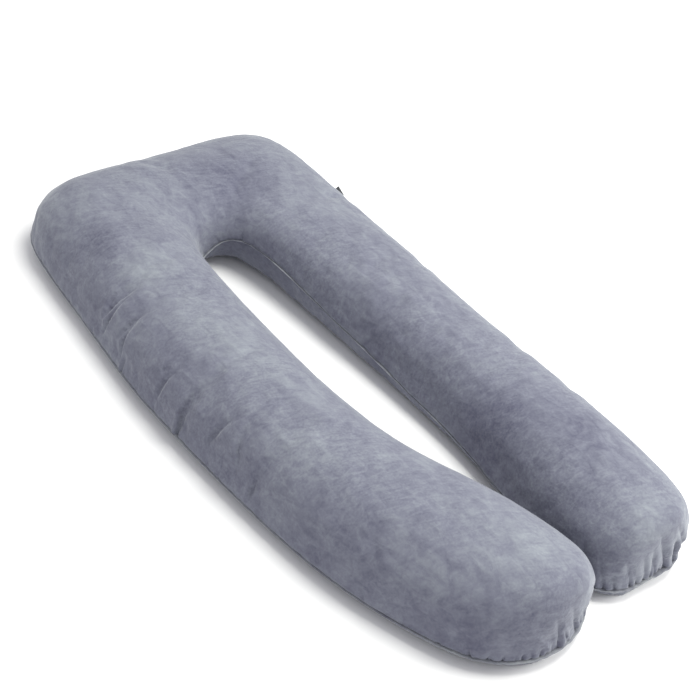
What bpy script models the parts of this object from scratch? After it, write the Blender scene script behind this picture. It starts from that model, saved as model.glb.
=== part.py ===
"""A u-shaped body pillow lying flat: one filled velvet cover, seamed all round its edge,
and the bare ribbon loop that is sewn into that seam. Metres, +Z up, resting on z = 0.
The arms run along -Y, the head end is at +Y, and the near arm lies at -X."""
import math

import bmesh
import bpy
import numpy as np
from mathutils import Vector

# Sections across the filled tube, from the tip of the near arm round the head end to the
# tip of the far arm. A chord joins the outer edge to the inner edge of each section. The
# arms are as uneven as they lie: the near one leans in at its end.
SECTIONS = [
    # outer_x, outer_y, inner_x, inner_y, crown_height, seam_height
    (-0.081, -0.739, -0.081, -0.739, 0.187, 0.026),
    (-0.160, -0.721, 0.000, -0.722, 0.186, 0.026),
    (-0.213, -0.683, 0.042, -0.683, 0.184, 0.026),
    (-0.258, -0.616, 0.049, -0.620, 0.186, 0.026),
    (-0.313, -0.469, 0.012, -0.480, 0.187, 0.026),
    (-0.347, -0.289, -0.058, -0.310, 0.185, 0.026),
    (-0.362, -0.080, -0.091, -0.110, 0.181, 0.026),
    (-0.365, 0.145, -0.088, 0.100, 0.178, 0.026),
    (-0.345, 0.360, -0.078, 0.280, 0.176, 0.026),
    (-0.325, 0.562, -0.062, 0.372, 0.176, 0.028),
    (-0.265, 0.682, -0.036, 0.414, 0.173, 0.032),
    (-0.100, 0.702, -0.012, 0.426, 0.172, 0.044),
    (0.100, 0.701, 0.012, 0.426, 0.174, 0.062),
    (0.275, 0.682, 0.038, 0.414, 0.177, 0.080),
    (0.330, 0.572, 0.064, 0.370, 0.178, 0.090),
    (0.336, 0.360, 0.082, 0.270, 0.176, 0.084),
    (0.339, 0.130, 0.098, 0.090, 0.179, 0.064),
    (0.342, -0.100, 0.112, -0.120, 0.181, 0.044),
    (0.351, -0.310, 0.112, -0.320, 0.185, 0.032),
    (0.351, -0.490, 0.087, -0.490, 0.187, 0.027),
    (0.339, -0.622, 0.074, -0.612, 0.187, 0.026),
    (0.306, -0.694, 0.086, -0.672, 0.186, 0.026),
    (0.248, -0.715, 0.128, -0.706, 0.186, 0.026),
    (0.185, -0.712, 0.185, -0.712, 0.186, 0.026),
]

# Shape of one section. The powers below 1 make it fuller than an ellipse. The angles go
# from the outer seam over the crown to the inner seam, closest beside the seams.
SIDE_POWER = 0.83
CROWN_POWER = 0.66
TOP_ANGLES = (0, 1.2, 5, 13, 26, 41, 57, 73, 90, 107, 123, 139, 154, 167, 175, 178.8, 180)
FLAT_SHARE = 0.66
FLAT_STEPS = 4
UNDER_STEPS = 2

# Width at which a section reaches its full height and stands on the floor, and how fast.
FULL_WIDTH = 0.30
FULL_POWER = 0.75
FLOOR_WIDTH = 0.12
FLOOR_POWER = 0.6

# Turned lip of the edge seam, and the cloth that swells out above it.
LIP_REACH = 0.006
LIP_HALF = 0.0016
SWELL = 0.005
SWELL_HEIGHT = 0.17

# Rounding of the top cloth at the tip of each arm.
TIP_RADIUS = 0.045
TIP_PASSES = 3

# Spacing of the sections along the outer edge.
END_STEP = 0.008
CREASED_STEP = 0.012
PLAIN_STEP = 0.028
CREASED_RANGE = (-0.30, 0.44)
END_REACH = -0.60

# Creases pressed into the top cloth, as arcs in plan, mostly from the edge seam inwards.
# Each is a trough between two low banks, and runs out at both of its ends.
BANK_SHARE = 0.35
BANK_PLACE = 2.0
CREASE_START = -0.15
CREASE_RISE = 0.03
CREASES = [
    # start_x, start_y, end_x, end_y, bow, half_width, depth
    (-0.345, 0.288, -0.270, 0.280, 0.003, 0.011, 0.0050),
    (-0.352, 0.226, -0.305, 0.200, 0.005, 0.011, 0.0050),
    (-0.362, 0.072, -0.325, 0.056, 0.003, 0.010, 0.0035),
    (-0.368, -0.010, -0.305, -0.004, -0.004, 0.011, 0.0065),
    (-0.358, -0.086, -0.325, -0.104, 0.003, 0.010, 0.0040),
    (-0.350, -0.162, -0.300, -0.128, -0.004, 0.011, 0.0035),
    (-0.352, -0.218, -0.310, -0.238, 0.004, 0.011, 0.0050),
    (-0.300, -0.184, -0.215, -0.250, 0.004, 0.013, 0.0025),
    (-0.310, -0.484, -0.290, -0.440, -0.004, 0.012, 0.0035),
    (0.338, 0.366, 0.225, 0.362, 0.004, 0.012, 0.0050),
    (0.338, 0.120, 0.262, 0.090, 0.010, 0.012, 0.0030),
    (0.344, -0.180, 0.240, -0.230, 0.012, 0.014, 0.0040),
    (0.349, -0.360, 0.262, -0.340, -0.010, 0.012, 0.0030),
    (0.120, 0.520, 0.215, 0.532, 0.004, 0.012, 0.0025),
    (0.170, 0.545, 0.215, 0.570, 0.004, 0.011, 0.0020),
]

# Broad soft lumps and hollows of the filling.
LUMPS = [
    # centre_x, centre_y, radius, height
    (-0.230, 0.420, 0.110, 0.0040),
    (-0.215, 0.200, 0.090, -0.0045),
    (-0.240, -0.060, 0.100, 0.0040),
    (-0.180, -0.330, 0.110, -0.0040),
    (-0.120, -0.560, 0.110, 0.0030),
    (0.010, 0.580, 0.100, -0.0045),
    (0.220, 0.590, 0.100, 0.0035),
    (0.220, 0.330, 0.090, -0.0040),
    (0.225, 0.060, 0.110, 0.0035),
    (0.230, -0.260, 0.100, -0.0045),
    (0.215, -0.520, 0.110, 0.0030),
]

# Pleats that the edge seam gathers, deepest round the ends of the arms.
PLEAT_PITCH = 0.030
PLEAT_DEPTH = 0.0080
PLEAT_FADE = 0.070
PLEAT_STRAIGHT = 0.25
PLEAT_END = (-0.50, -0.64)
PLEAT_RISE = 0.008
PLEAT_UNEVEN = 0.25
PLEAT_BEAT = 0.37
PLEAT_DRIFT = 0.23

# Bare ribbon loop in the seam of the far arm, close to the head end.
LOOP_AT = 14.65
LOOP_WIDTH = 0.024
LOOP_REACH = 0.036
LOOP_HALF = 0.0009
LOOP_TILT = math.radians(38)
LOOP_GAP = 0.0004

VELVET_COLOUR = (0.285, 0.298, 0.365, 1.0)
RIBBON_COLOUR = (0.062, 0.065, 0.071, 1.0)


def clear_scene():
    for thing in list(bpy.data.objects):
        bpy.data.objects.remove(thing, do_unlink=True)


def finish(name, colour, roughness):
    material = bpy.data.materials.new(name)
    material.use_nodes = True
    shader = material.node_tree.nodes["Principled BSDF"]
    shader.inputs["Base Color"].default_value = colour
    shader.inputs["Roughness"].default_value = roughness
    shader.inputs["Metallic"].default_value = 0.0
    return material


def closed_edge():
    """Control points of one smooth closed curve through the outer and inner edges."""
    outer = [(row[0], row[1], row[4], row[5]) for row in SECTIONS]
    inner = [(row[2], row[3], row[4], row[5]) for row in SECTIONS[1:-1]]
    points = np.array(outer + inner[::-1])
    count = len(points)
    weights = np.zeros((count, count))
    for i in range(count):
        weights[i, i] = 4.0 / 6.0
        weights[i, (i - 1) % count] = 1.0 / 6.0
        weights[i, (i + 1) % count] = 1.0 / 6.0
    return np.linalg.solve(weights, points)


def edge_point(control, place):
    """Position, outward direction and heights of the edge at a place, counted in sections."""
    count = len(control)
    cell = math.floor(place)
    f = place - cell
    near = [control[(cell + k) % count] for k in (-1, 0, 1, 2)]
    basis = ((1 - f) ** 3, 3 * f ** 3 - 6 * f ** 2 + 4, -3 * f ** 3 + 3 * f ** 2 + 3 * f + 1, f ** 3)
    slope = (-(1 - f) ** 2, 3 * f ** 2 - 4 * f, -3 * f ** 2 + 2 * f + 1, f ** 2)
    value = sum(b * c for b, c in zip(basis, near)) / 6
    along = sum(b * c for b, c in zip(slope, near)) / 2
    out = np.array((-along[1], along[0]))
    return value[:2], out / np.linalg.norm(out), value[2], value[3]


def section_places(control):
    """Places of all the sections, closer where the cloth is creased or gathered."""
    places = []
    for cell in range(len(SECTIONS) - 1):
        start = edge_point(control, cell)[0]
        end = edge_point(control, cell + 1)[0]
        middle_y = (start[1] + end[1]) / 2
        step = PLAIN_STEP
        if middle_y < END_REACH:
            step = END_STEP
        elif start[0] < 0 and CREASED_RANGE[0] < middle_y < CREASED_RANGE[1]:
            step = CREASED_STEP
        count = max(2, round(np.linalg.norm(end - start) / step))
        places += [cell + k / count for k in range(count)]
    return places + [len(SECTIONS) - 1]


def crease_depth(x, y):
    """How far the creases press the top cloth in at a point of the plan."""
    total = 0.0
    for start_x, start_y, end_x, end_y, bow, half_width, depth in CREASES:
        run = np.array((end_x - start_x, end_y - start_y))
        length = np.linalg.norm(run)
        run = run / length
        rel = np.array((x - start_x, y - start_y))
        share = float(rel @ run) / length
        off = float(rel @ np.array((-run[1], run[0])))
        off -= bow * 4 * share * (1 - share)
        if CREASE_START < share < 1:
            fade = math.sqrt(1 - max(share, 0.0) ** 2) * min(1.0, 1 - share / CREASE_START)
            trough = math.exp(-((off / half_width) ** 2))
            banks = math.exp(-((abs(off) / half_width - BANK_PLACE) ** 2))
            total += depth * fade * (trough - BANK_SHARE * banks)
    return total


def lump_height(x, y):
    return sum(
        height * math.exp(-((x - centre_x) ** 2 + (y - centre_y) ** 2) / radius ** 2)
        for centre_x, centre_y, radius, height in LUMPS
    )


def pleat_depth(edge_run, edge_y, rise):
    """How far the gathered seam draws the cloth in, at a height above the seam."""
    share = (PLEAT_END[0] - edge_y) / (PLEAT_END[0] - PLEAT_END[1])
    strength = PLEAT_STRAIGHT + (1 - PLEAT_STRAIGHT) * min(max(share, 0.0), 1.0)
    turn = edge_run / PLEAT_PITCH * 2 * math.pi
    uneven = 1 - PLEAT_UNEVEN + PLEAT_UNEVEN * math.sin(PLEAT_BEAT * turn)
    wave = 0.5 + 0.5 * math.sin(turn + math.sin(PLEAT_DRIFT * turn))
    fade = min(1.0, rise / PLEAT_RISE) * math.exp(-((rise / PLEAT_FADE) ** 2))
    return PLEAT_DEPTH * strength * uneven * wave * fade


def fullness(width, full_width, power):
    share = min(1.0, width / full_width)
    return (1 - (1 - share) ** 2) ** power


def section_ring(control, place, runs):
    """The closed ring of points round one section, from the outer seam over the top."""
    count = len(control)
    outer, outer_out, crown, seam = edge_point(control, place)
    inner, inner_out, _, _ = edge_point(control, (count - place) % count)
    centre = (outer + inner) / 2
    half = (outer - inner) / 2
    width = 2 * np.linalg.norm(half)
    rise = (crown - seam - LIP_HALF) * fullness(width, FULL_WIDTH, FULL_POWER)
    drop = (seam - LIP_HALF) * fullness(width, FLOOR_WIDTH, FLOOR_POWER)

    ring = []
    for degrees in TOP_ANGLES:
        angle = math.radians(degrees)
        side = math.copysign(abs(math.cos(angle)) ** SIDE_POWER, math.cos(angle))
        lift = rise * math.sin(angle) ** CROWN_POWER
        lift += lump_height(*(centre + half * side)) * lift / crown
        out, run = (outer_out, runs[0]) if side > 0 else (inner_out, runs[1])
        swell = SWELL * side ** 4 * math.sin(math.pi * min(1.0, lift / SWELL_HEIGHT))
        spot = centre + half * side + out * swell
        sink = crease_depth(*spot) * min(1.0, lift / CREASE_RISE)
        spot = spot - out * (pleat_depth(run, spot[1], lift) + sink * abs(side))
        ring.append((spot[0], spot[1], seam + LIP_HALF + lift - sink * (1 - abs(side) ** 3)))
    ring.append((*(inner + inner_out * LIP_REACH), seam))
    for k in range(UNDER_STEPS + 1):
        angle = math.pi / 2 * k / UNDER_STEPS
        side = -1 + (1 - FLAT_SHARE) * (1 - math.cos(angle))
        ring.append((*(centre + half * side), seam - LIP_HALF - drop * math.sin(angle)))
    for k in range(1, FLAT_STEPS):
        side = FLAT_SHARE * (-1 + 2 * k / FLAT_STEPS)
        ring.append((*(centre + half * side), seam - LIP_HALF - drop))
    for k in range(UNDER_STEPS, -1, -1):
        angle = math.pi / 2 * k / UNDER_STEPS
        side = 1 - (1 - FLAT_SHARE) * (1 - math.cos(angle))
        ring.append((*(centre + half * side), seam - LIP_HALF - drop * math.sin(angle)))
    ring.append((*(outer + outer_out * LIP_REACH), seam))
    return ring


def round_tip(shell, tip, seam):
    """Ease the top cloth where the sections run out at the tip of an arm."""
    close = [
        vertex
        for vertex in shell.verts
        if vertex.co.z > seam + 2 * LIP_HALF and (vertex.co.xy - tip.xy).length < TIP_RADIUS
    ]
    for _ in range(TIP_PASSES):
        bmesh.ops.smooth_vert(
            shell, verts=close, factor=0.5, use_axis_x=True, use_axis_y=True, use_axis_z=True
        )


def pillow_mesh(control):
    """Loft through all the sections; the rings at both tips fall together and close it."""
    count = len(control)
    places = section_places(control)
    rings = []
    runs = [0.0, 0.0]
    last = None
    for place in places:
        edges = (edge_point(control, place)[0], edge_point(control, (count - place) % count)[0])
        if last:
            runs = [run + np.linalg.norm(a - b) for run, a, b in zip(runs, edges, last)]
        rings.append(section_ring(control, place, (runs[0], -runs[1])))
        last = edges
    shell = bmesh.new()
    rows = [[shell.verts.new(point) for point in ring] for ring in rings]
    size = len(rows[0])
    for this, following in zip(rows, rows[1:]):
        for k in range(size):
            shell.faces.new((this[k], this[(k + 1) % size], following[(k + 1) % size], following[k]))
    bmesh.ops.remove_doubles(shell, verts=shell.verts, dist=0.00005)
    bmesh.ops.dissolve_degenerate(shell, edges=shell.edges, dist=0.00002)
    for tip in (SECTIONS[0], SECTIONS[-1]):
        round_tip(shell, Vector((tip[0], tip[1], 0.0)), tip[5])
    bmesh.ops.recalc_face_normals(shell, faces=shell.faces)
    mesh = bpy.data.meshes.new("pillow")
    shell.to_mesh(mesh)
    shell.free()
    mesh.shade_smooth()
    return mesh


def make_pillow(collection, control):
    pillow = bpy.data.objects.new("pillow", pillow_mesh(control))
    pillow.data.materials.append(finish("velvet", VELVET_COLOUR, 0.9))
    collection.objects.link(pillow)
    return pillow


def make_ribbon_loop(collection, control):
    """A strip folded on itself, standing out of the seam and tipped up."""
    spot, out, _, seam = edge_point(control, LOOP_AT)
    seat = spot + out * (LIP_REACH + LOOP_GAP)
    bpy.ops.mesh.primitive_cube_add(size=1)
    loop = bpy.context.object
    loop.name = "ribbon_loop"
    loop.scale = (LOOP_REACH, LOOP_WIDTH, 2 * LOOP_HALF)
    bpy.ops.object.transform_apply(location=False, rotation=False, scale=True)
    for vertex in loop.data.vertices:
        vertex.co.x += LOOP_REACH / 2
    rounding = loop.modifiers.new("rounding", "BEVEL")
    rounding.width = LOOP_HALF * 0.7
    rounding.segments = 2
    turn = math.atan2(out[1], out[0])
    loop.rotation_euler = (0, -LOOP_TILT, turn)
    loop.location = (seat[0], seat[1], seam + LOOP_HALF)
    loop.data.materials.append(finish("ribbon", RIBBON_COLOUR, 0.75))
    for other in list(loop.users_collection):
        other.objects.unlink(loop)
    collection.objects.link(loop)
    return loop


def stand_on_origin(pieces):
    """Move the pieces together, so that the middle of their box is over the origin."""
    bpy.context.view_layer.update()
    corners = np.array([piece.matrix_world @ Vector(c) for piece in pieces for c in piece.bound_box])
    middle = (corners.min(axis=0) + corners.max(axis=0)) / 2
    for piece in pieces:
        piece.location.x -= middle[0]
        piece.location.y -= middle[1]


def main():
    clear_scene()
    collection = bpy.data.collections.new("u_shaped_pillow")
    bpy.context.scene.collection.children.link(collection)
    control = closed_edge()
    stand_on_origin([make_pillow(collection, control), make_ribbon_loop(collection, control)])


main()
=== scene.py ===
import math
import random

import bpy
import numpy as np
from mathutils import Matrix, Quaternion, Vector, kdtree


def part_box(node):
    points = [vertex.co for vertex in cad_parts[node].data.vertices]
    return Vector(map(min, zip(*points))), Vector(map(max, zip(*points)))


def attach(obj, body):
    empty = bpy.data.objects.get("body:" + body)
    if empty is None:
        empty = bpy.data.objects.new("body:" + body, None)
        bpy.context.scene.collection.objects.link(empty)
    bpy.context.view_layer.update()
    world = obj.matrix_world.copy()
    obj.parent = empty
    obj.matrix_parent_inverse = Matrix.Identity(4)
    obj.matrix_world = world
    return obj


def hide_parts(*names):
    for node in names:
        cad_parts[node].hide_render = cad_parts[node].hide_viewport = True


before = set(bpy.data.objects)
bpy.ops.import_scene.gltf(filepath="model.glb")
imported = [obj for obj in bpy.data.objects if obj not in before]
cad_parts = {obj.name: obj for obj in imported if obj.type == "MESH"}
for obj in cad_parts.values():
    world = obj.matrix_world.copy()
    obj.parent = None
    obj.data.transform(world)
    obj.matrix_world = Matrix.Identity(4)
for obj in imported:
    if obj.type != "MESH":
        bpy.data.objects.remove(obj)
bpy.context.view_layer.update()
bpy.ops.object.select_all(action="DESELECT")


# Camera. It stands outside the foot end of the near arm and looks down over both arms
# through a long lens, held a little crooked, so that the head end lies at the upper left.
CAMERA_SIDE = math.radians(-48.829)
CAMERA_RISE = math.radians(38.630)
CAMERA_LEAN = math.radians(14.850)
CAMERA_AWAY = 2.8648
CAMERA_LENS = 72.91
CAMERA_AIM = Vector((0.0509, 0.0216, 0.08))
towards_camera = Vector((
    math.sin(CAMERA_SIDE) * math.cos(CAMERA_RISE),
    -math.cos(CAMERA_SIDE) * math.cos(CAMERA_RISE),
    math.sin(CAMERA_RISE),
))
bpy.ops.object.camera_add(location=CAMERA_AIM + towards_camera * CAMERA_AWAY)
camera = bpy.context.object
camera.name = "camera"
camera.data.lens = CAMERA_LENS
camera.data.sensor_width = 36
camera.rotation_mode = "QUATERNION"
level = (-towards_camera).to_track_quat("-Z", "Y")
camera.rotation_quaternion = level @ Quaternion((0, 0, 1), CAMERA_LEAN)
bpy.context.scene.camera = camera


# Edge seam. The two panels are sewn together all round, and their edges are turned and
# caught in a narrow flat lip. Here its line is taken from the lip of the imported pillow.
SAME_PLACE = 0.00003
LIP_EDGE = math.radians(120)
LIP_TUCK = 0.0056
LIP_ROOT = 0.006
LINE_STEP = 0.002
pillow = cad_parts["pillow"]
cover = bpy.data.objects.new("velvet_cover", pillow.data.copy())
bpy.context.scene.collection.objects.link(cover)
bpy.context.view_layer.objects.active = cover
cover.select_set(True)
bpy.ops.object.mode_set(mode="EDIT")
bpy.ops.mesh.select_mode(type="EDGE")
bpy.ops.mesh.select_all(action="SELECT")
bpy.ops.mesh.remove_doubles(threshold=SAME_PLACE)
bpy.ops.mesh.select_all(action="DESELECT")
bpy.ops.mesh.edges_select_sharp(sharpness=LIP_EDGE)
bpy.ops.object.mode_set(mode="OBJECT")

# The sharp edge of the lip, corner by corner, from the tip of the near arm towards +X. On
# the cover it is tucked in, because the seam lip is a piece of its own further on.
beside = {}
for edge in cover.data.edges:
    if edge.select:
        one, other = edge.vertices
        beside.setdefault(one, []).append(other)
        beside.setdefault(other, []).append(one)
first = min(beside, key=lambda k: cover.data.vertices[k].co.y)
order = [first, min(beside[first], key=lambda k: -cover.data.vertices[k].co.x)]
while len(order) < len(beside):
    order.append(next(k for k in beside[order[-1]] if k != order[-2]))
corners = np.array([cover.data.vertices[k].co for k in order])
for k in order:
    point = cover.data.vertices[k]
    point.co -= point.normal * LIP_TUCK

closed = np.vstack((corners, corners[:1]))
corner_run = np.concatenate(([0], np.cumsum(np.linalg.norm(np.diff(closed, axis=0), axis=1))))
seam_length = corner_run[-1]
count = round(seam_length / LINE_STEP)
seam_run = np.arange(count) * seam_length / count
seam_line = np.column_stack([np.interp(seam_run, corner_run, closed[:, k]) for k in range(3)])


def evened(values, reach_mm):
    """Running mean round the closed seam."""
    width = round(reach_mm / 1000 / LINE_STEP)
    bell = np.hanning(2 * width + 1)
    bell /= bell.sum()
    padded = np.concatenate((values[-width:], values, values[:width]))
    return np.convolve(padded, bell, mode="valid")


seam_line = np.column_stack([evened(seam_line[:, k], reach_mm=14) for k in range(3)])
heading = np.roll(seam_line, -1, axis=0) - np.roll(seam_line, 1, axis=0)
heading /= np.linalg.norm(heading, axis=1, keepdims=True)
seam_out = np.column_stack((heading[:, 1], -heading[:, 0], np.zeros(count)))
seam_root = seam_line - seam_out * LIP_ROOT
seam_find = kdtree.KDTree(count)
for k in range(count):
    seam_find.insert(seam_line[k], k)
seam_find.balance()

# How strongly the seam gathers the cloth: most round the end of the far arm, less round
# the near one and at the corners of the head end, and a little along the straight runs.
ENDS_BEGIN = -0.50
ENDS_BLEND = 0.13
BETWEEN_ARMS = 0.063
NEAR_END_GATHER = 0.7
CORNER_GATHER = 0.45
CORNER_BEND = 2
LEAST_GATHER = 0.14
turned = np.unwrap(np.arctan2(heading[:, 1], heading[:, 0]))
bend = np.abs(evened(np.gradient(turned, seam_length / count), reach_mm=50))
at_ends = np.clip((ENDS_BEGIN - seam_line[:, 1]) / ENDS_BLEND, 0, 1)
at_corners = np.clip((bend - CORNER_BEND) / 5, 0, 1)
far_arm = seam_line[:, 0] > BETWEEN_ARMS
gather = np.maximum(at_ends * np.where(far_arm, 1.0, NEAR_END_GATHER), CORNER_GATHER * at_corners)
gather = np.maximum(gather, LEAST_GATHER)


# Velvet cover. Two panels of short-pile polyester velvet, grey with a blue cast, cut to the
# same U, sewn together all round and filled until they are plump. The pile lies brushed
# this way and that, so soft patches of it look lighter or darker. Painted light and shade
# also make the cloth paler where it faces the lamps, darker where it faces away, and
# lighter or darker in some broad areas.
VOXEL = 0.0083
mesher = cover.modifiers.new("even_mesh", "REMESH")
mesher.mode = "VOXEL"
mesher.voxel_size = VOXEL
bpy.ops.object.modifier_apply(modifier=mesher.name)

TIGHT_X = 0.75
TIGHT_Y = 0.66
TIGHTNESS = 1.5


def of_each(items, what):
    """The place, centre or normal of each point or face, one row for each."""
    values = np.zeros(len(items) * 3, np.float32)
    items.foreach_get(what, values)
    return values.reshape(-1, 3).astype(float)


def move_to(mesh, values):
    mesh.vertices.foreach_set("co", values.astype(np.float32).ravel())
    mesh.update()


def point_group(name, shares):
    """A group of the cover's points, each with its share from 0 to 1, in tenths."""
    group = cover.vertex_groups.new(name=name)
    tenths = np.round(shares * 10.0)
    for tenth in range(1, 11):
        inside = np.nonzero(tenths == tenth)[0].tolist()
        if inside:
            group.add(inside, tenth / 10, "REPLACE")


def nearest_seam(points):
    """The step of the seam nearest to each point, and how far off it is."""
    found = [seam_find.find(point) for point in points]
    return np.array([item[1] for item in found]), np.array([item[2] for item in found])


def looseness(mesh, least):
    """How loosely the cloth lies: it is drawn tight and smooth where it faces +X and +Y."""
    facing = of_each(mesh.vertices, "normal")
    tight = TIGHT_X * facing[:, 0] + TIGHT_Y * facing[:, 1]
    return np.clip(1.0 - TIGHTNESS * tight, least, 1)


# The cloth is swelled by a simulation, held at its seam and where it rests. Only the fine
# swelling and puckering is kept, so that the pillow keeps its outline.
SEAM_HELD = 0.0105
RESTING = 0.003
SWELL_FRAMES = 20
EVENING_ROUNDS = 60
KEPT_SWELL = 0.55
MOST_MOVE = 0.009
start = of_each(cover.data.vertices, "co")
from_seam = nearest_seam(start)[1]
point_group("held", (from_seam < SEAM_HELD) | (start[:, 2] < RESTING))
cloth = cover.modifiers.new("cloth", "CLOTH")
cloth.settings.quality = 5
cloth.settings.mass = 0.3
cloth.settings.tension_stiffness = 15
cloth.settings.compression_stiffness = 15
cloth.settings.shear_stiffness = 5
cloth.settings.bending_stiffness = 0.5
cloth.settings.use_pressure = True
cloth.settings.uniform_pressure_force = 4
cloth.settings.effector_weights.gravity = 0
cloth.settings.vertex_group_mass = "held"
cloth.settings.shrink_min = -0.02
cloth.point_cache.frame_start = 1
cloth.point_cache.frame_end = SWELL_FRAMES
for number in range(1, SWELL_FRAMES + 1):
    bpy.context.scene.frame_set(number)
swelled = cover.evaluated_get(bpy.context.evaluated_depsgraph_get())
moved = of_each(swelled.to_mesh().vertices, "co") - start
swelled.to_mesh_clear()
cover.modifiers.remove(cloth)
cover.vertex_groups.clear()
bpy.context.scene.frame_set(1)
pairs = np.array([edge.vertices[:] for edge in cover.data.edges])
neighbours = np.bincount(pairs.ravel(), minlength=len(start))
broad = moved.copy()
for _ in range(EVENING_ROUNDS):
    total = np.column_stack([
        np.bincount(pairs[:, 0], broad[pairs[:, 1], k], len(start))
        + np.bincount(pairs[:, 1], broad[pairs[:, 0], k], len(start))
        for k in range(3)
    ])
    broad = (broad + total / neighbours[:, None]) / 2
fine = (moved - broad) * KEPT_SWELL * looseness(cover.data, least=0.1)[:, None]
fine_move = np.maximum(np.linalg.norm(fine, axis=1, keepdims=True), 1e-9)
fine *= np.minimum(1, MOST_MOVE / fine_move)
fine[start[:, 2] < RESTING] = 0
move_to(cover.data, start + fine)
finer = cover.modifiers.new("finer", "SUBSURF")
finer.levels = 1
finer.render_levels = 1
bpy.ops.object.modifier_apply(modifier=finer.name)

# Under the seam the lower panel turns in to the floor in one even curve.
UNDER_SEAM = 0.022
point_group("under", of_each(cover.data.vertices, "co")[:, 2] < UNDER_SEAM)
evener = cover.modifiers.new("evener", "SMOOTH")
evener.factor = 0.5
evener.iterations = 8
evener.vertex_group = "under"
bpy.ops.object.modifier_apply(modifier=evener.name)
cover.vertex_groups.clear()

# The mesh is made finer again where the cloth is pleated at the arm ends and corners, and
# along the outer side of the near arm, which has the long creases.
PLEATED_FROM = 0.4
PLEATED_REACH = 0.12
CREASED_X = -0.18
CREASED_Y = 0.05
CREASED_HALF_LENGTH = 0.33
CREASED_REACH = 0.17
FINE_ABOVE = 0.012
at_face = of_each(cover.data.polygons, "center")
at_seam, from_seam = nearest_seam(at_face)
pleated = (gather[at_seam] > PLEATED_FROM) & (from_seam < PLEATED_REACH)
creased = (at_face[:, 0] < CREASED_X) & (from_seam < CREASED_REACH)
creased &= np.abs(at_face[:, 1] - CREASED_Y) < CREASED_HALF_LENGTH
chosen = (pleated | creased) & (at_face[:, 2] > FINE_ABOVE)
cover.data.polygons.foreach_set("select", chosen)
bpy.ops.object.mode_set(mode="EDIT")
bpy.ops.mesh.select_mode(type="FACE")
bpy.ops.mesh.subdivide(number_cuts=1)
bpy.ops.object.mode_set(mode="OBJECT")

# The filling lies in soft lumps about 8 cm across, with small dents between them. Both fade
# out towards the floor, and the dents are also fainter near the ends of the arms.
LUMPS_FROM = 0.01
LUMPS_BLEND = 0.05
DENTS_Y = 0.10
DENTS_HALF_LENGTH = 0.36
DENTS_BLEND = 0.15
for name, size, strength in (("lumps", 0.085, 0.008), ("dents", 0.030, 0.0030)):
    clouds = bpy.data.textures.new(name, "CLOUDS")
    clouds.noise_scale = size
    clouds.noise_depth = 1
    spots = of_each(cover.data.vertices, "co")
    share = np.clip((spots[:, 2] - LUMPS_FROM) / LUMPS_BLEND, 0, 1)
    share *= looseness(cover.data, least=0.15)
    if name == "dents":
        inward = DENTS_HALF_LENGTH - np.abs(spots[:, 1] - DENTS_Y)
        share *= np.clip(inward / DENTS_BLEND, 0.25, 1)
    point_group("above", share)
    fill = cover.modifiers.new(name, "DISPLACE")
    fill.texture = clouds
    fill.texture_coords = "LOCAL"
    fill.strength = strength
    fill.mid_level = 0.5
    fill.vertex_group = "above"
    bpy.ops.object.modifier_apply(modifier=fill.name)
    cover.vertex_groups.clear()

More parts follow.
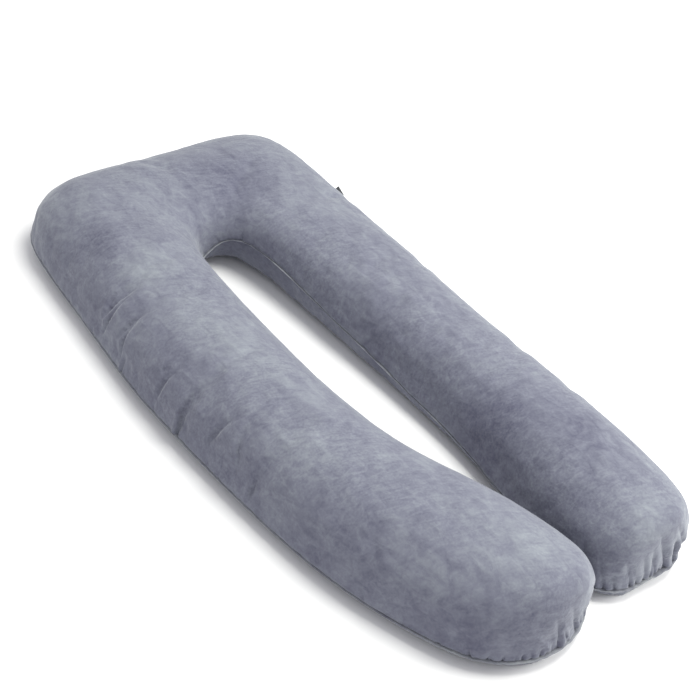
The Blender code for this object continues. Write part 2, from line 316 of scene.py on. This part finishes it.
# Single creases and deep pleats. Each one starts beside a place on the seam, runs up over
# the cloth between two distances from the seam, and leans along it as it goes. Its bottom
# is sharp, and the cloth stands up in a soft bank along one side of it: where the run grows
# for a bank above 0, on the other side below 0. A depth below 0 makes a ridge.
CREASES = [
    # seam_x, seam_y, lean, start, stop, bow, half_width, depth, bank
    (-0.356, 0.318, 0.000, 0.080, 0.155, 0.000, 0.0032, 0.0054, -0.42),
    (-0.357, 0.313, 0.014, 0.060, 0.165, 0.000, 0.0034, 0.0070, -0.42),
    (-0.358, 0.304, 0.014, 0.028, 0.150, 0.002, 0.0036, 0.0072, -0.42),
    (-0.364, 0.248, 0.016, 0.060, 0.145, 0.000, 0.0034, 0.0056, -0.42),
    (-0.366, 0.229, -0.004, 0.030, 0.125, -0.004, 0.0036, 0.0074, -0.42),
    (-0.367, 0.215, 0.002, 0.004, 0.045, 0.000, 0.0032, 0.0050, -0.42),
    (-0.372, 0.101, 0.002, 0.088, 0.125, 0.000, 0.0030, 0.0038, -0.42),
    (-0.372, 0.090, 0.020, 0.035, 0.130, -0.004, 0.0036, 0.0058, -0.42),
    (-0.370, 0.018, 0.008, 0.004, 0.130, 0.000, 0.0040, 0.0082, -0.42),
    (-0.367, -0.064, 0.040, 0.035, 0.150, -0.008, 0.0038, 0.0064, -0.42),
    (-0.363, -0.146, -0.030, 0.060, 0.155, -0.004, 0.0038, 0.0056, -0.42),
    (-0.359, -0.191, 0.004, 0.012, 0.095, 0.000, 0.0040, 0.0072, -0.42),
    (-0.312, -0.472, -0.022, 0.006, 0.045, 0.000, 0.0034, 0.0036, -0.42),
    (-0.206, -0.679, 0.000, 0.000, 0.019, 0.000, 0.0030, 0.0050, 0.20),
    (-0.184, -0.696, -0.002, 0.000, 0.022, 0.000, 0.0032, 0.0054, 0.20),
    (-0.151, -0.713, -0.004, 0.000, 0.024, 0.000, 0.0034, 0.0060, 0.20),
    (-0.115, -0.723, -0.004, 0.000, 0.028, 0.000, 0.0032, 0.0060, 0.20),
    (-0.084, -0.726, -0.090, 0.000, 0.095, 0.000, 0.0055, -0.0028, 0.20),
    (-0.074, -0.726, -0.040, 0.000, 0.105, 0.006, 0.0055, 0.0062, 0.38),
    (-0.053, -0.726, -0.026, 0.010, 0.055, 0.000, 0.0032, 0.0052, 0.38),
    (-0.011, -0.716, -0.066, 0.000, 0.110, 0.000, 0.0055, 0.0064, 0.38),
    (-0.001, -0.713, -0.034, 0.008, 0.062, 0.000, 0.0032, 0.0046, 0.38),
    (0.020, -0.706, -0.050, 0.000, 0.085, 0.000, 0.0042, 0.0070, 0.38),
    (0.052, -0.660, -0.080, 0.000, 0.125, 0.000, 0.0055, 0.0038, 0.38),
    (0.190, -0.700, -0.040, 0.000, 0.095, 0.000, 0.0050, 0.0042, 0.38),
    (0.221, -0.702, -0.040, 0.000, 0.068, 0.000, 0.0040, 0.0048, 0.38),
    (0.249, -0.703, -0.072, 0.000, 0.132, 0.000, 0.0064, 0.0082, 0.38),
    (0.283, -0.697, -0.044, 0.000, 0.095, -0.006, 0.0048, 0.0080, 0.38),
    (0.315, -0.683, -0.090, 0.000, 0.130, 0.000, 0.0050, 0.0082, 0.38),
    (0.343, 0.382, 0.012, 0.080, 0.128, 0.000, 0.0048, 0.0052, 0.38),
]
SEAM_RISE = 0.03
OPEN_START = 0.005
BANK_OFF = 2.3
BANK_WIDE = 1.2
OTHER_BANK = 0.35
spots = of_each(cover.data.vertices, "co")
facing = of_each(cover.data.vertices, "normal")
at_seam, from_seam = nearest_seam(spots)
where = seam_run[at_seam]
rise = spots[:, 2] - seam_line[at_seam, 2]


def seam_place(x, y):
    """How far along the seam its nearest point to x and y lies."""
    return seam_run[seam_find.find((x, y, SEAM_RISE))[1]]


def pressed_in(place, lean, first_at, last_at, bow, half_width, depth, bank):
    """How deep one crease lies under each point of the cloth."""
    share = np.clip((from_seam - first_at) / (last_at - first_at), 0, 1)
    off = where - place - lean * share - bow * 4 * share * (1 - share)
    off = (off + seam_length / 2) % seam_length - seam_length / 2
    wide = half_width * (0.75 + 6 * from_seam)
    fade = np.clip(1 - share ** 2, 0, 1) ** 1.2
    if first_at >= OPEN_START:
        fade *= np.clip(1.4 * share / 0.35, 0, 1) ** 0.8
    valley = np.exp(-((np.abs(off) / wide) ** 1.4))
    bank_off = math.copysign(BANK_OFF, bank)
    high_side = np.exp(-(((off / wide - bank_off) / BANK_WIDE) ** 2))
    low_side = np.exp(-(((off / wide + bank_off) / BANK_WIDE) ** 2))
    return depth * fade * (valley - abs(bank) * (high_side + OTHER_BANK * low_side))


folded = np.zeros(len(spots))
for seam_x, seam_y, *crease in CREASES:
    folded += pressed_in(seam_place(seam_x, seam_y), *crease)

# In two places the cloth is drawn right in above the lip, and a short dark gap shows.
DRAWN_IN = [
    # seam_x, seam_y, half_length, depth
    (0.234, -0.703, 0.012, 0.0065),
    (-0.095, -0.725, 0.012, 0.0030),
]
GAP_HIGH = 0.012
for seam_x, seam_y, half_length, depth in DRAWN_IN:
    off = where - seam_place(seam_x, seam_y)
    folded += depth * np.exp(-((off / half_length) ** 4)) * np.exp(-((rise / GAP_HIGH) ** 2))
folded *= rise > 0

# The other pleats, where the seam gathers the cloth: each has its own length, depth and
# slant, with a soft puff between one and the next and a short sharp slit at the seam. They
# are weak where the cloth is drawn tight and under the seam.
NEAR_ARM_SPREAD = 0.45
PLEAT_HALF_WIDTH = 0.0058
PLEAT_BANK = 0.25
SLIT_HALF_WIDTH = 0.0030
SLIT_LENGTH = 0.024
SLIT_BANK = 0.2
UNDER_SEAM_PLEATS = 0.4
random.seed(11)
pleats = np.zeros(len(spots))
run = 0.0
while run < seam_length:
    here = min(count - 1, int(run / seam_length * count))
    pull = gather[here]
    spread = 1.0 if far_arm[here] else NEAR_ARM_SPREAD
    pitch = (0.064 - 0.040 * pull) * random.uniform(0.6, 1.5)
    depth = (0.0005 + 0.0036 * pull * spread) * random.uniform(0.25, 1.3)
    length = (0.030 + 0.060 * pull * spread) * random.uniform(0.45, 1.3)
    slant = random.uniform(-0.15, 0.15) - 0.45 * at_ends[here]
    slit = (0.0006 + 0.0036 * pull) * random.uniform(0.4, 1.2)
    pleats += pressed_in(run, slant * length, 0, length, 0, PLEAT_HALF_WIDTH, depth, PLEAT_BANK)
    pleats += pressed_in(run, slant * 0.02, 0, SLIT_LENGTH, 0, SLIT_HALF_WIDTH, slit, SLIT_BANK)
    run += pitch
loose = np.maximum(looseness(cover.data, least=0.08), at_ends[at_seam])
pleats *= np.where(rise > 0, loose, UNDER_SEAM_PLEATS)
off_floor = np.clip((spots[:, 2] - 0.004) / 0.01, 0, 1)
off_seam = np.clip((from_seam - 0.002) / 0.007, 0.25, 1)

# The cloth rolls out over the lip of the seam and nearly hides it.
ROLL_OUT = 0.0050
ROLL_RISE = 0.007
ROLL_ABOVE = 0.022
ROLL_BELOW = 0.0055
ROLL_REACH = 0.05
ROLL_BLEND = 0.02
FLAT_BELOW = 0.0035
rolled = (rise - ROLL_RISE) / np.where(rise > ROLL_RISE, ROLL_ABOVE, ROLL_BELOW)
roll = ROLL_OUT * np.exp(-(rolled ** 2)) * np.clip((ROLL_REACH - from_seam) / ROLL_BLEND, 0, 1)
spots += seam_out[at_seam] * roll[:, None]
spots -= facing * ((pleats + folded) * (off_floor * off_seam))[:, None]
spots[spots[:, 2] < FLAT_BELOW, 2] = 0.0
move_to(cover.data, spots)

MOST_TRIANGLES = 196000
triangles = sum(len(face.vertices) - 2 for face in cover.data.polygons)
if triangles > MOST_TRIANGLES:
    thinner = cover.modifiers.new("thinner", "DECIMATE")
    thinner.ratio = MOST_TRIANGLES / triangles
    bpy.ops.object.modifier_apply(modifier=thinner.name)
bpy.ops.object.shade_smooth()

# Painted light and shade, kept as a point attribute that the velvet reads. Each broad area is
# painted lighter, above 0, or darker, below 0: partly patches of brushed pile and partly painted
# shade, such as the darker cloth low round the near end.
NAP_AND_PAINTED_SHADE_AREAS = [
    # middle_x, middle_y, reach_x, reach_y, lean
    (0.215, -0.425, 0.065, 0.080, -0.28),
    (0.130, -0.310, 0.050, 0.070, -0.20),
    (0.110, 0.520, 0.080, 0.080, -0.22),
    (-0.280, 0.450, 0.050, 0.050, -0.18),
    (-0.300, 0.610, 0.050, 0.060, 0.18),
    (-0.335, 0.450, 0.030, 0.060, 0.12),
    (-0.260, 0.330, 0.050, 0.060, 0.28),
    (-0.240, 0.160, 0.050, 0.100, 0.14),
    (-0.355, 0.240, 0.025, 0.070, 0.14),
    (-0.220, 0.000, 0.050, 0.080, 0.10),
    (-0.330, -0.020, 0.035, 0.060, 0.10),
    (-0.290, -0.230, 0.045, 0.060, 0.20),
    (-0.290, -0.520, 0.030, 0.040, 0.10),
    (-0.100, -0.620, 0.080, 0.050, 0.18),
    (-0.240, -0.645, 0.035, 0.035, -0.14),
    (-0.175, -0.718, 0.050, 0.030, -0.16),
    (-0.090, -0.738, 0.050, 0.025, -0.20),
    (0.160, -0.660, 0.050, 0.050, 0.14),
    (0.200, -0.560, 0.040, 0.040, -0.12),
]
PAINTED_LIGHT_FROM = np.array([0.40, -0.40, 0.82])
PAINTED_FACING_LIGHT = 0.11
PAINTED_SHADING_OFFSET = -0.05
spots = of_each(cover.data.vertices, "co")
facing = of_each(cover.data.vertices, "normal")
# Painted light and shade: the cloth is made paler where it faces up and towards the lamps at +X
# and -Y, and darker where it faces away.
nap_and_painted_shading = PAINTED_FACING_LIGHT * np.clip(facing @ PAINTED_LIGHT_FROM, -1, 1) + PAINTED_SHADING_OFFSET
for middle_x, middle_y, reach_x, reach_y, lean in NAP_AND_PAINTED_SHADE_AREAS:
    away = ((spots[:, 0] - middle_x) / reach_x) ** 2 + ((spots[:, 1] - middle_y) / reach_y) ** 2
    nap_and_painted_shading += lean * np.exp(-away)
painted_shading_layer = cover.data.attributes.new("nap_and_painted_shading", "FLOAT", "POINT")
painted_shading_layer.data.foreach_set("value", nap_and_painted_shading.astype(np.float32))

# Nap tones, deep to pale. The noise moves the colour between them at random. The painted light
# and shade from the point attribute pushes it to the deep end as painted shade, bluer like the
# shade, or to the pale end as painted light.
PALE_NAP_AND_LIGHT = (0.254, 0.274, 0.306, 1)
MIDDLE_NAP = (0.166, 0.173, 0.219, 1)
DEEP_NAP_AND_SHADE = (0.086, 0.087, 0.131, 1)


def wired(tree, node, sockets):
    """Fill a shader node: a number or colour is set, and another node's output is linked."""
    for name, value in sockets.items():
        if isinstance(value, bpy.types.NodeSocket):
            tree.links.new(value, node.inputs[name])
        else:
            node.inputs[name].default_value = value
    return node


def noise(tree, place, scale, detail, roughness=0.5, distortion=0.0):
    node = wired(tree, tree.nodes.new("ShaderNodeTexNoise"), {
        "Vector": place, "Scale": scale, "Detail": detail,
        "Roughness": roughness, "Distortion": distortion,
    })
    return node.outputs["Fac"]


def mixed(tree, share, one, other):
    node = wired(tree, tree.nodes.new("ShaderNodeMix"), {0: share, 2: one, 3: other})
    return node.outputs[0]


def ranged(tree, value, low, high, to_low, to_high, interpolation="LINEAR"):
    node = wired(tree, tree.nodes.new("ShaderNodeMapRange"), {
        "Value": value, "From Min": low, "From Max": high, "To Min": to_low, "To Max": to_high,
    })
    node.interpolation_type = interpolation
    return node.outputs["Result"]


def brushed_velvet(name, painted_light_lift):
    """Short pile brushed in uneven patches, with painted light and shade read from the cover's
    point attribute. The second argument, above 1, paints light over all of it and makes it paler.
    """
    material = bpy.data.materials.new(name)
    material.use_nodes = True
    tree = material.node_tree
    place = tree.nodes.new("ShaderNodeTexCoord").outputs["Object"]
    lay = wired(tree, tree.nodes.new("ShaderNodeMapping"), {
        "Vector": place,
        "Rotation": (0.2, 0.1, math.radians(24)),
        "Scale": (1.0, 0.62, 1.0),
    }).outputs["Vector"]
    brush = tree.nodes.new("ShaderNodeMapping")
    brush.vector_type = "TEXTURE"
    wired(tree, brush, {
        "Vector": place,
        "Rotation": (0.0, 0.0, math.radians(-18)),
        "Scale": (3.4, 1.0, 1.4),
    })
    patches = noise(tree, lay, scale=10, detail=2.5, distortion=1.0)
    blotches = noise(tree, lay, scale=38, detail=3, roughness=0.55, distortion=1.3)
    strokes = noise(tree, brush.outputs["Vector"], scale=100, detail=2.5, distortion=1.0)
    specks = noise(tree, place, scale=220, detail=2)
    pile = noise(tree, place, scale=900, detail=2)
    smooth = noise(tree, place, scale=6, detail=1)

    # The broad patches have fairly quick edges, as brushing leaves them. In some places the
    # pile is ruffled by many small strokes, in others it lies smooth.
    edged = ranged(tree, patches, 0.42, 0.58, 0.38, 0.62, "SMOOTHSTEP")
    broad_nap = mixed(tree, 0.58, edged, blotches)
    fine_nap = mixed(tree, 0.42, strokes, specks)
    ruffled = ranged(tree, smooth, 0.38, 0.62, 0.32, 0.62)
    nap = mixed(tree, ruffled, broad_nap, fine_nap)
    # The painted light and shade from the point attribute is added to the nap before the ramp.
    areas = tree.nodes.new("ShaderNodeAttribute")
    areas.attribute_name = "nap_and_painted_shading"
    nap_with_painted_shading = tree.nodes.new("ShaderNodeMath")
    nap_with_painted_shading.operation = "MULTIPLY_ADD"
    wired(tree, nap_with_painted_shading, {0: areas.outputs["Fac"], 1: 0.6, 2: nap})
    shades = wired(tree, tree.nodes.new("ShaderNodeValToRGB"), {"Fac": nap_with_painted_shading.outputs["Value"]})
    ramp = shades.color_ramp
    ramp.elements[0].position = 0.26
    ramp.elements[0].color = DEEP_NAP_AND_SHADE
    ramp.elements[1].position = 0.74
    ramp.elements[1].color = PALE_NAP_AND_LIGHT
    middle = ramp.elements.new(0.50)
    middle.color = MIDDLE_NAP
    # Painted light: the second argument multiplies the colour, so that the whole cloth is paler.
    bright = tree.nodes.new("ShaderNodeMix")
    bright.data_type = "RGBA"
    bright.blend_type = "MULTIPLY"
    wired(tree, bright, {0: 1, 6: shades.outputs["Color"], 7: (painted_light_lift, painted_light_lift, 0.3 + 0.7 * painted_light_lift, 1)})

    lean = wired(tree, tree.nodes.new("ShaderNodeBump"), {
        "Strength": 0.30, "Distance": 0.006, "Height": broad_nap,
    })
    grain = wired(tree, tree.nodes.new("ShaderNodeBump"), {
        "Strength": 0.30, "Distance": 0.0006, "Height": pile, "Normal": lean.outputs["Normal"],
    })
    wired(tree, tree.nodes["Principled BSDF"], {
        "Base Color": bright.outputs[2],
        "Roughness": ranged(tree, nap, 0, 1, 0.95, 0.80),
        "Specular IOR Level": 0.15,
        "Sheen Weight": 0.4,
        "Sheen Roughness": 0.4,
        "Sheen Tint": (0.95, 0.99, 1.0, 1),
        "Normal": grain.outputs["Normal"],
    })
    return material


cover.data.materials.clear()
cover.data.materials.append(brushed_velvet("brushed_velvet", 1.0))
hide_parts("pillow")
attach(cover, "root")
cover.select_set(False)


# Seam lip. The turned edges of both panels, pressed flat: a thin lip that peeks out under
# the cloth all round and waves a little where the pleats run into it.
LIP_WIDE = 0.0050
LIP_THICK = 0.0008
LIP_OUT = 0.0009
LIP_SCALLOP = 0.0008
LIP_OUT_AT_ENDS = 0.0010
LIP_RISE = 0.0010
LIP_WAVE = 0.0010


def strayed_wave(pitch, stray, stray_pitch):
    """A wave along the seam with a pitch that strays as it goes."""
    return np.sin(seam_run / pitch * 2 * math.pi + stray * np.sin(seam_run / stray_pitch))


bpy.ops.curve.primitive_bezier_circle_add(radius=1)
profile = bpy.context.object
profile.name = "lip_profile"
profile.scale = (LIP_WIDE, LIP_THICK, 1)
bpy.ops.object.transform_apply(location=False, rotation=False, scale=True)
profile.data.resolution_u = 3
wave = strayed_wave(0.021, 1.7, 0.13)
scallop = strayed_wave(0.034, 2.1, 0.17)
lip_out = LIP_OUT + LIP_SCALLOP * scallop * gather + LIP_OUT_AT_ENDS * at_ends
lip_line = seam_root + seam_out * lip_out[:, None]
lip_line[:, 2] += LIP_RISE + LIP_WAVE * wave * gather
every = lip_line[::2]
bpy.ops.curve.primitive_bezier_curve_add()
lip = bpy.context.object
lip.name = "seam_lip"
lip.data.splines.clear()
thread = lip.data.splines.new("POLY")
thread.points.add(len(every) - 1)
thread.points.foreach_set("co", np.column_stack((every, np.ones(len(every)))).ravel())
thread.use_cyclic_u = True
lip.data.dimensions = "3D"
lip.data.twist_mode = "Z_UP"
lip.data.bevel_mode = "OBJECT"
lip.data.bevel_object = profile
bpy.ops.object.select_all(action="DESELECT")
lip.select_set(True)
bpy.context.view_layer.objects.active = lip
bpy.ops.object.convert(target="MESH")
lip = bpy.context.object
bpy.data.objects.remove(profile)
bpy.ops.object.mode_set(mode="EDIT")
bpy.ops.mesh.select_all(action="SELECT")
bpy.ops.mesh.remove_doubles(threshold=SAME_PLACE)
bpy.ops.mesh.normals_make_consistent(inside=False)
bpy.ops.object.mode_set(mode="OBJECT")
bpy.ops.object.shade_smooth()
lip.data.materials.clear()
# The lip's velvet is painted paler, as painted light for the light that its edge catches.
lip.data.materials.append(brushed_velvet("lip_velvet_painted_light", 1.7))
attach(lip, "root")
lip.select_set(False)


# Ribbon loop. A strip of dark woven tape, folded a little aslant and caught in the seam of
# the far arm near the head end, so that its end towards +Y stands out the furthest. Nothing
# is printed on it.
TAPE_WIDE = 0.027
TAPE_THICK = 0.0006
TAPE_SLANT = 0.007
TAPE_TILT = math.radians(38)
TAPE_STEPS = 12
TAPE_LEG = [
    # out, off_middle
    (-0.004, 0.0004),
    (0.004, 0.0007),
    (0.012, 0.0013),
    (0.021, 0.0018),
    (0.028, 0.0019),
    (0.0325, 0.0016),
    (0.0345, 0.0009),
]
TAPE_FOLD = (0.0352, 0.0)
low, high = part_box("ribbon_loop")
tape_root = Vector((low.x + 0.0026, (low.y + high.y) / 2 - 0.008, low.z + 0.0012))
tape_out = Vector((math.cos(TAPE_TILT), 0, math.sin(TAPE_TILT)))
tape_up = Vector((-math.sin(TAPE_TILT), 0, math.cos(TAPE_TILT)))
path = TAPE_LEG + [TAPE_FOLD] + [(out, -off_middle) for out, off_middle in reversed(TAPE_LEG)]
bpy.ops.mesh.primitive_plane_add(size=1)
tape = bpy.context.object
tape.name = "folded_ribbon"
bpy.ops.object.mode_set(mode="EDIT")
bpy.ops.mesh.select_mode(type="VERT")
bpy.ops.mesh.select_all(action="SELECT")
bpy.ops.mesh.merge(type="CENTER")
tape_start = tape_root + tape_out * (path[0][0] - TAPE_SLANT) + tape_up * path[0][1]
bpy.ops.transform.translate(value=tape_start - Vector((0, TAPE_WIDE / 2, 0)))
for this, following in zip(path, path[1:]):
    step = tape_out * (following[0] - this[0]) + tape_up * (following[1] - this[1])
    bpy.ops.mesh.extrude_region_move(TRANSFORM_OT_translate={"value": step})
bpy.ops.mesh.select_all(action="SELECT")
tape_step = Vector((0, TAPE_WIDE / TAPE_STEPS, 0)) + tape_out * (TAPE_SLANT / TAPE_STEPS)
for _ in range(TAPE_STEPS):
    bpy.ops.mesh.extrude_region_move(TRANSFORM_OT_translate={"value": tape_step})
bpy.ops.mesh.select_all(action="SELECT")
bpy.ops.mesh.remove_doubles(threshold=SAME_PLACE)
bpy.ops.mesh.normals_make_consistent(inside=False)
bpy.ops.object.mode_set(mode="OBJECT")
ply = tape.modifiers.new("ply", "SOLIDIFY")
ply.thickness = TAPE_THICK
ply.offset = 0
bpy.ops.object.modifier_apply(modifier=ply.name)
soft = tape.modifiers.new("soft", "SUBSURF")
soft.levels = 1
soft.render_levels = 1
bpy.ops.object.modifier_apply(modifier=soft.name)
bpy.ops.object.transform_apply(location=True, rotation=True, scale=True)
bpy.ops.object.shade_smooth()

DARK_THREAD = (0.045, 0.048, 0.054, 1)
PALE_THREAD = (0.078, 0.082, 0.090, 1)
woven = bpy.data.materials.new("woven_tape")
woven.use_nodes = True
tape_tree = woven.node_tree
tape_place = tape_tree.nodes.new("ShaderNodeTexCoord").outputs["Object"]
ribs = wired(tape_tree, tape_tree.nodes.new("ShaderNodeTexWave"), {
    "Vector": tape_place, "Scale": 260, "Distortion": 0.4,
})
ribs.bands_direction = "Y"
tape_shade = tape_tree.nodes.new("ShaderNodeMix")
tape_shade.data_type = "RGBA"
threads = noise(tape_tree, tape_place, scale=420, detail=2)
wired(tape_tree, tape_shade, {0: threads, 6: DARK_THREAD, 7: PALE_THREAD})
tape_bump = wired(tape_tree, tape_tree.nodes.new("ShaderNodeBump"), {
    "Strength": 0.5, "Distance": 0.0003, "Height": ribs.outputs["Fac"],
})
wired(tape_tree, tape_tree.nodes["Principled BSDF"], {
    "Base Color": tape_shade.outputs[2],
    "Roughness": 0.7,
    "Specular IOR Level": 0.3,
    "Normal": tape_bump.outputs["Normal"],
})
tape.data.materials.clear()
tape.data.materials.append(woven)
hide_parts("ribbon_loop")
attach(tape, "root")
tape.select_set(False)


# Studio. A plain white floor and a pale surround, with one large soft lamp overhead and one
# lower down beyond the foot end, so that the sides at -X fall into a soft shade.
bpy.ops.mesh.primitive_plane_add(size=24, location=(0, 0, 0))
floor = bpy.context.object
floor.name = "floor"
floor_paint = bpy.data.materials.new("floor_white")
floor_paint.use_nodes = True
wired(floor_paint.node_tree, floor_paint.node_tree.nodes["Principled BSDF"], {
    "Base Color": (0.93, 0.93, 0.93, 1),
    "Roughness": 0.95,
})
floor.data.materials.append(floor_paint)
world = bpy.data.worlds.new("pale_room")
world.use_nodes = True
wired(world.node_tree, world.node_tree.nodes["Background"], {
    "Color": (0.97, 0.97, 1, 1),
    "Strength": 0.74,
})
bpy.context.scene.world = world


def soft_lamp(name, location, power):
    """A round lamp turned to the middle of the floor."""
    bpy.ops.object.light_add(type="AREA", location=location)
    lamp = bpy.context.object
    lamp.name = name
    lamp.data.shape = "DISK"
    lamp.data.size = 1.6
    lamp.data.energy = power
    lamp.data.color = (1.0, 1.0, 0.95)
    lamp.rotation_euler = (-lamp.location).to_track_quat("-Z", "Y").to_euler()


soft_lamp("high_lamp", (0.49, -0.19, 2.95), 74)
soft_lamp("low_lamp", (1.99, -1.67, 1.50), 46)
bpy.context.scene.view_settings.view_transform = "Standard"
bpy.context.scene.view_settings.look = "None"
